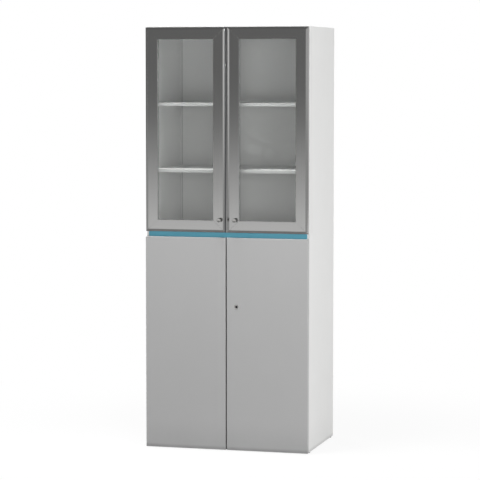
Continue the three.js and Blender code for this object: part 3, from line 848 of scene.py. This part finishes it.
class CABINET_OT_knobs(bpy.types.Operator):
    """Turn the knobs of the glass doors"""

    bl_idname = "cabinet.knobs"
    bl_label = "Knobs"

    def execute(self, context):
        for side in SIDES:
            node = f"knob_{side}"
            seat = centre_of(node)
            seat.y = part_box(node)[1].y
            shape = turned(KNOB_PROFILE, seat, FORWARD, KNOB_EDGE)
            new_piece(f"{node}_turned", shape, body_of(node), nickel_plate, [node])
        return {"FINISHED"}


class CABINET_OT_hinges(bpy.types.Operator):
    """Finish the hinge arms and cups, with the screws that hold them"""

    bl_idname = "cabinet.hinges"
    bl_label = "Hinges"

    def execute(self, context):
        plate_screws = []
        for row in ROWS:
            for side in SIDES:
                ear_screws = []
                for hinge in hinge_names(row, side):
                    arm = f"hinge_arm_{hinge}"
                    cup = f"hinge_cup_{hinge}"
                    dressed_copy(arm, zinc_plate, trim().fitting_edge)
                    dressed_copy(cup, zinc_plate, trim().fitting_edge)
                    plate_screws += self.arm_screws(arm, side)
                    ear_screws += self.cup_screws(cup)
                name = f"hinge_screws_{row}_{side}_door"
                new_piece(name, gathered(ear_screws), f"{row}_{side}_door", zinc_plate)
        new_piece("hinge_screws_carcass", gathered(plate_screws), "carcass", zinc_plate)
        return {"FINISHED"}

    def arm_screws(self, arm, side):
        """Two screws in the plate on the side panel, above and below the arm."""
        low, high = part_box(f"side_panel_{side}")
        wall = {"left": high.x, "right": low.x}[side]
        seat = centre_of(arm)
        seat.x = wall - SIGN[side] * HINGE_PLATE
        seat.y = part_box(arm)[1].y - PLATE_SCREW_INSET
        return self.screw_pair(seat, (-SIGN[side], 0, 0), PLATE_SCREW_RISE)

    def cup_screws(self, cup):
        """A screw in each ear of the cup."""
        seat = centre_of(cup)
        seat.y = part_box(cup)[1].y
        return self.screw_pair(seat, REARWARD, EAR_SCREW_RISE)

    def screw_pair(self, seat, axis, rise):
        """Two screws on a face, one below and one above a point."""
        return [plain_screw(seat + Vector((0, 0, step * rise)), axis) for step in (-1, 1)]


class CABINET_OT_lock(bpy.types.Operator):
    """Turn the cam lock's collar and finish its plug, cam and nut"""

    bl_idname = "cabinet.lock"
    bl_label = "Cam lock"

    def execute(self, context):
        seat = centre_of("lock_housing")
        seat.y = DOOR_FRONT
        length = (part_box("lock_housing")[1].y - DOOR_FRONT) / MM
        start = (DOOR_BACK - DOOR_FRONT) / MM
        thread = []
        for turn in range(int((length - start) / THREAD_PITCH)):
            crest = start + turn * THREAD_PITCH
            thread += [(LOCK_BARREL, crest), (THREAD_ROOT, crest + THREAD_PITCH / 2)]
        profile = [
            *LOCK_RIM, (LOCK_BARREL, start - THREAD_RUN_IN),
            *thread, (THREAD_ROOT, length), (LOCK_BORE, length),
        ]
        collar = turned(profile, seat, REARWARD, closed=True)
        body = body_of("lock_housing")
        new_piece("lock_collar", collar, body, nickel_plate, ["lock_housing"])
        dressed_copy("lock_plug", black_plate, trim().fitting_edge)
        dressed_copy("lock_cam", zinc_plate, trim().fitting_edge)
        dressed_copy("lock_nut", zinc_plate, trim().fitting_edge)
        end = centre_of("lock_plug")
        end.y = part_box("lock_plug")[1].y
        holder = screw(end, REARWARD, CAM_SCREW_RADIUS, CAM_SCREW_HEIGHT)
        new_piece("lock_cam_screw", holder, body_of("lock_cam"), zinc_plate)
        return {"FINISHED"}


class CABINET_OT_bolt(bpy.types.Operator):
    """Finish the slide bolt behind the left lower door"""

    bl_idname = "cabinet.bolt"
    bl_label = "Slide bolt"

    def execute(self, context):
        dressed_copy("bolt_body", zinc_plate, trim().fitting_edge)
        dressed_copy("bolt_slider", zinc_plate, trim().fitting_edge)
        return {"FINISHED"}


class CABINET_OT_shelf_supports(bpy.types.Operator):
    """Finish the pegs that carry the loose shelves"""

    bl_idname = "cabinet.shelf_supports"
    bl_label = "Shelf supports"

    def execute(self, context):
        for node in frame["nodes"]:
            if node.startswith("shelf_support"):
                dressed_copy(node, nickel_plate, trim().fitting_edge)
        return {"FINISHED"}


class CABINET_OT_glides(bpy.types.Operator):
    """Turn the glides under the sides"""

    bl_idname = "cabinet.glides"
    bl_label = "Glides"

    def execute(self, context):
        for node in frame["nodes"]:
            if node.startswith("glide"):
                seat = centre_of(node)
                seat.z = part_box(node)[0].z
                shape = turned(GLIDE_PROFILE, seat, UPWARD, GLIDE_EDGE)
                name = f"{node}_turned"
                new_piece(name, shape, body_of(node), glide_moulding, [node])
        return {"FINISHED"}


class CABINET_OT_small_parts(bpy.types.Operator):
    """Add the back panel's screws, the knobs' screws and the doors' soft stops"""

    bl_idname = "cabinet.small_parts"
    bl_label = "Screws and stops"

    def execute(self, context):
        rows = [centre_of(name).z for name in reversed(BAY_BOARDS)]
        middle = (BACK_SCREW_COLUMNS - 1) / 2
        columns = [(step - middle) * BACK_SCREW_SPACING for step in range(BACK_SCREW_COLUMNS)]
        back = [plain_screw(Vector((x, BACK_FACE, z)), REARWARD) for x in columns for z in rows]
        new_piece("back_panel_screws", gathered(back), "carcass", zinc_plate)
        high = centre_of("top_panel").z
        low = centre_of("bottom_panel").z + LOWER_BUMPER_LIFT
        for side in SIDES:
            place = centre_of(f"knob_{side}")
            place.y = DOOR_BACK
            shape = plain_screw(place, REARWARD)
            new_piece(f"knob_screw_{side}", shape, f"upper_{side}_door", zinc_plate)
            self.bumper(f"bumper_upper_{side}", SIGN[side], high, f"upper_{side}_door")
            self.bumper(f"bumper_lower_{side}", SIGN[side], low, f"lower_{side}_door")
        return {"FINISHED"}

    def bumper(self, name, sign, height, body):
        """A soft stop on the back of a door, near the middle of the cabinet."""
        radius = trim().bumper_radius / MM
        rise = trim().bumper_height / MM
        profile = [(out * radius, up * rise) for out, up in BUMPER_SHARES]
        place = Vector((sign * BUMPER_FROM_CENTRE, DOOR_BACK, height))
        new_piece(name, turned(profile, place, REARWARD), body, bumper_rubber)


class Card(NamedTuple):
    """A graded card that is seen only in reflections: its greys are those at two heights."""

    name: str
    centre: tuple
    size: tuple
    heights: tuple
    greys: tuple
    tilt: float = 90
    turn: float = 0


CARDS = (
    Card("card_front", centre=(-0.72, -2.75, 2.0), size=(4.4, 4.0),
         heights=(0.64, 1.70), greys=(1.06, 0.225), turn=-15.5),
    Card("card_right", centre=(2.775, -2.04, 1.5), size=(1.65, 3.0),
         heights=(0.9, 1.9), greys=(0.37, 0.65)),
    Card("card_middle", centre=(1.275, -2.04, 1.5), size=(1.35, 3.0),
         heights=(0.9, 1.9), greys=(0.5, 1.0)),
    Card("card_left", centre=(-2.2, -1.25, 1.5), size=(1.6, 3.0),
         heights=(0.9, 1.9), greys=(0.5, 1.0), turn=90),
    Card("card_beside", centre=(-0.75, -0.04, 1.55), size=(0.69, 2.1),
         heights=(1.1, 1.6), greys=(0.43, 0.2), turn=90),
    Card("card_above", centre=(0, -2.6, 4.2), size=(8.0, 6.0),
         heights=(4.0, 4.4), greys=(0.2, 0.2), tilt=0),
    Card("card_below", centre=(-0.3, -0.9, 0.004), size=(1.8, 0.8),
         heights=(0.0, 0.01), greys=(0.33, 0.33), tilt=0),
)


class Lamp(NamedTuple):
    """A round lamp that is aimed at a point. The stage's property of its name gives its power."""

    name: str
    place: tuple
    aim: tuple
    size: float
    spread: float = 180


LAMPS = (
    Lamp("side", place=(5.4, -1.0, 1.3), aim=(0.4, 0, 1.1), size=2.6),
    Lamp("top", place=(-0.2, -0.75, 3.6), aim=(-0.1, -0.26, 1.0), size=0.9),
    Lamp("fill", place=(1.9, -6.8, 1.35), aim=(0, 0, 1.3), size=2.4),
    Lamp("left", place=(-1.6, -6.8, 1.35), aim=(0, 0, 1.3), size=2.4),
    Lamp("corner", place=(5.0, -3.0, 1.3), aim=(0, 0, 1.3), size=2.4),
    Lamp("back", place=(-3.6, 3.6, 1.6), aim=(-0.2, 0.1, 1.1), size=2.6),
    Lamp("bay", place=(0.5, -4.2, 1.55), aim=(0, 0, 2.08), size=0.6, spread=6),
)


class CABINET_OT_stage(bpy.types.Operator):
    """Set up the floor, the cards, the net, the lamps and the camera"""

    bl_idname = "cabinet.stage"
    bl_label = "Studio"

    def execute(self, context):
        scene = context.scene
        stage = scene.cabinet_stage
        scene.view_settings.view_transform = "Standard"
        self.surroundings(scene, stage)
        self.floor(stage)
        for card in CARDS:
            self.card(card)
        self.net()
        for lamp in LAMPS:
            self.lamp(lamp, getattr(stage, f"{lamp.name}_power"))
        self.camera(scene, stage)
        return {"FINISHED"}

    def seen_rays(self, tree):
        """1 for rays that show the background: from the camera, off gloss, or through glass."""
        kinds = ("Is Camera Ray", "Is Glossy Ray", "Is Transmission Ray")
        rays = [tree.node("ShaderNodeLightPath", out=kind) for kind in kinds]
        return rays[0].larger(rays[1]).larger(rays[2])

    def surroundings(self, scene, stage):
        """A world that is seen as white and gives a low, even light."""
        scene.world = bpy.data.worlds.new("studio")
        tree = NodeTree(scene.world)
        sockets = {"Color": WHITE, "Strength": 1.0}
        seen = tree.node("ShaderNodeBackground", {}, sockets)
        even = tree.node("ShaderNodeBackground", {}, sockets | {"Strength": stage.ambient})
        both = tree.node("ShaderNodeMixShader", {}, {0: self.seen_rays(tree), 1: even, 2: seen})
        tree.node("ShaderNodeOutputWorld", {}, {"Surface": both})

    def sheet(self, name, material, size, centre=(0, 0, 0), tilt=0, turn=0, hidden_from=()):
        """A flat sheet of the studio, hidden from some kinds of ray."""
        shape = bmesh.new()
        bmesh.ops.create_grid(shape, x_segments=1, y_segments=1, size=0.5)
        bmesh.ops.scale(shape, vec=(*size, 1), verts=shape.verts)
        for angle, axis in ((tilt, "X"), (turn, "Z")):
            turning = Matrix.Rotation(math.radians(angle), 3, axis)
            bmesh.ops.rotate(shape, matrix=turning, verts=shape.verts)
        bmesh.ops.translate(shape, vec=centre, verts=shape.verts)
        mesh = bpy.data.meshes.new(name)
        shape.to_mesh(mesh)
        shape.free()
        mesh.materials.append(material)
        sheet = bpy.data.objects.new(name, mesh)
        bpy.context.scene.collection.objects.link(sheet)
        for ray in hidden_from:
            setattr(sheet, f"visible_{ray}", False)

    def floor(self, stage):
        """A floor that is seen as white, apart from a trace of shadow near the cabinet."""
        paint = Finish("studio_floor")
        mottle = paint.noise(scale=0.8, detail=2)
        pale = paint.mix(mottle, *[screen_grey(level) for level in FLOOR_LEVELS])
        bounced = paint.node("ShaderNodeLightPath", out="Is Diffuse Ray")
        pale = paint.mix(bounced, pale, screen_grey(FLOOR_BOUNCE_LEVEL))
        lit = paint.principled(Base_Color=pale, Roughness=0.8, Specular_IOR_Level=0.1)
        white = paint.node("ShaderNodeEmission", {}, {"Color": WHITE, "Strength": 1.0})
        length = {"operation": "LENGTH"}
        far = paint.node("ShaderNodeVectorMath", length, {0: paint.place}, "Value")
        near = paint.rise(far, *FLOOR_FADE)
        share = self.seen_rays(paint) * (1 - near * stage.floor_show)
        both = paint.node("ShaderNodeMixShader", {}, {0: share, 1: lit, 2: white})
        self.sheet("floor", paint.show(both), (FLOOR_SPAN, FLOOR_SPAN))

    def card(self, card):
        """Puts up a card, and hides it from all rays but those off gloss."""
        paint = Finish(card.name)
        grade = paint.rise(paint.axis("Z"), *card.heights)
        shade = paint.mix(grade, *[even_grey(level) for level in card.greys])
        light = paint.node("ShaderNodeEmission", {}, {"Color": shade, "Strength": 1.0})
        rays = ("camera", "diffuse", "shadow", "transmission", "volume_scatter")
        material = paint.show(light)
        self.sheet(card.name, material, card.size, card.centre, card.tilt, card.turn, rays)

    def net(self):
        """A studio net over the cabinet that holds most of the top lamp's light off its top."""
        paint = Finish("studio_net")
        gauze = paint.node("ShaderNodeBsdfTransparent", {}, {"Color": even_grey(NET_SHARE)})
        rays = ("camera", "diffuse", "glossy", "transmission", "volume_scatter")
        self.sheet("net", paint.show(gauze), NET_SIZE, NET_PLACE, hidden_from=rays)

    def lamp(self, lamp, power):
        """Puts up a lamp that lights the cabinet and is not seen itself."""
        light = bpy.data.lights.new(f"{lamp.name}_lamp", "AREA")
        light.shape = "DISK"
        light.size = lamp.size
        light.spread = math.radians(lamp.spread)
        light.energy = power
        head = bpy.data.objects.new(light.name, light)
        head.location = lamp.place
        beam = Vector(lamp.aim) - Vector(lamp.place)
        head.rotation_euler = beam.to_track_quat("-Z", "Y").to_euler()
        head.visible_glossy = False
        head.visible_transmission = False
        head.visible_camera = False
        bpy.context.scene.collection.objects.link(head)

    def camera(self, scene, stage):
        """A long lens, to the right of the cabinet and a little below its top."""
        data = bpy.data.cameras.new("camera")
        data.lens = stage.lens
        data.sensor_width = SENSOR_WIDTH
        data.clip_end = FAR_CLIP
        camera = bpy.data.objects.new("camera", data)
        camera.location = stage.camera_place
        level = math.cos(stage.camera_dip)
        ahead = Vector((
            -math.sin(stage.camera_turn) * level,
            math.cos(stage.camera_turn) * level,
            -math.sin(stage.camera_dip),
        ))
        camera.rotation_euler = ahead.to_track_quat("-Z", "Y").to_euler()
        scene.collection.objects.link(camera)
        scene.camera = camera


OPERATORS = (
    CABINET_OT_carcass, CABINET_OT_accent_strip, CABINET_OT_glass_doors, CABINET_OT_lower_doors,
    CABINET_OT_knobs, CABINET_OT_hinges, CABINET_OT_lock, CABINET_OT_bolt, CABINET_OT_shelf_supports,
    CABINET_OT_glides, CABINET_OT_small_parts, CABINET_OT_stage,
)


class CABINET_PT_panel(bpy.types.Panel):
    """The cabinet's pieces, finishes and studio"""

    bl_idname = "CABINET_PT_panel"
    bl_label = "Glass Door Cabinet"
    bl_space_type = "VIEW_3D"
    bl_region_type = "UI"
    bl_category = "Cabinet"

    def draw(self, context):
        for operator in OPERATORS:
            self.layout.operator(operator.bl_idname)
        for group in (getattr(context.scene, name) for name in GROUPS):
            box = self.layout.box()
            for name in group.__annotations__:
                box.prop(group, name)


GROUPS = {"cabinet_looks": CabinetLooks, "cabinet_trim": CabinetTrim, "cabinet_stage": CabinetStage}


def register():
    for group in GROUPS.values():
        bpy.utils.register_class(group)
    for name, group in GROUPS.items():
        setattr(bpy.types.Scene, name, PointerProperty(type=group))
    for item in (*OPERATORS, CABINET_PT_panel):
        bpy.utils.register_class(item)


def unregister():
    for item in reversed((*OPERATORS, CABINET_PT_panel)):
        bpy.utils.unregister_class(item)
    for name in GROUPS:
        delattr(bpy.types.Scene, name)
    for group in reversed(GROUPS.values()):
        bpy.utils.unregister_class(group)


def main():
    register()
    for operator in OPERATORS:
        group, name = operator.bl_idname.split(".")
        getattr(getattr(bpy.ops, group), name)()
    bpy.context.view_layer.update()


if __name__ == "__main__":
    main()
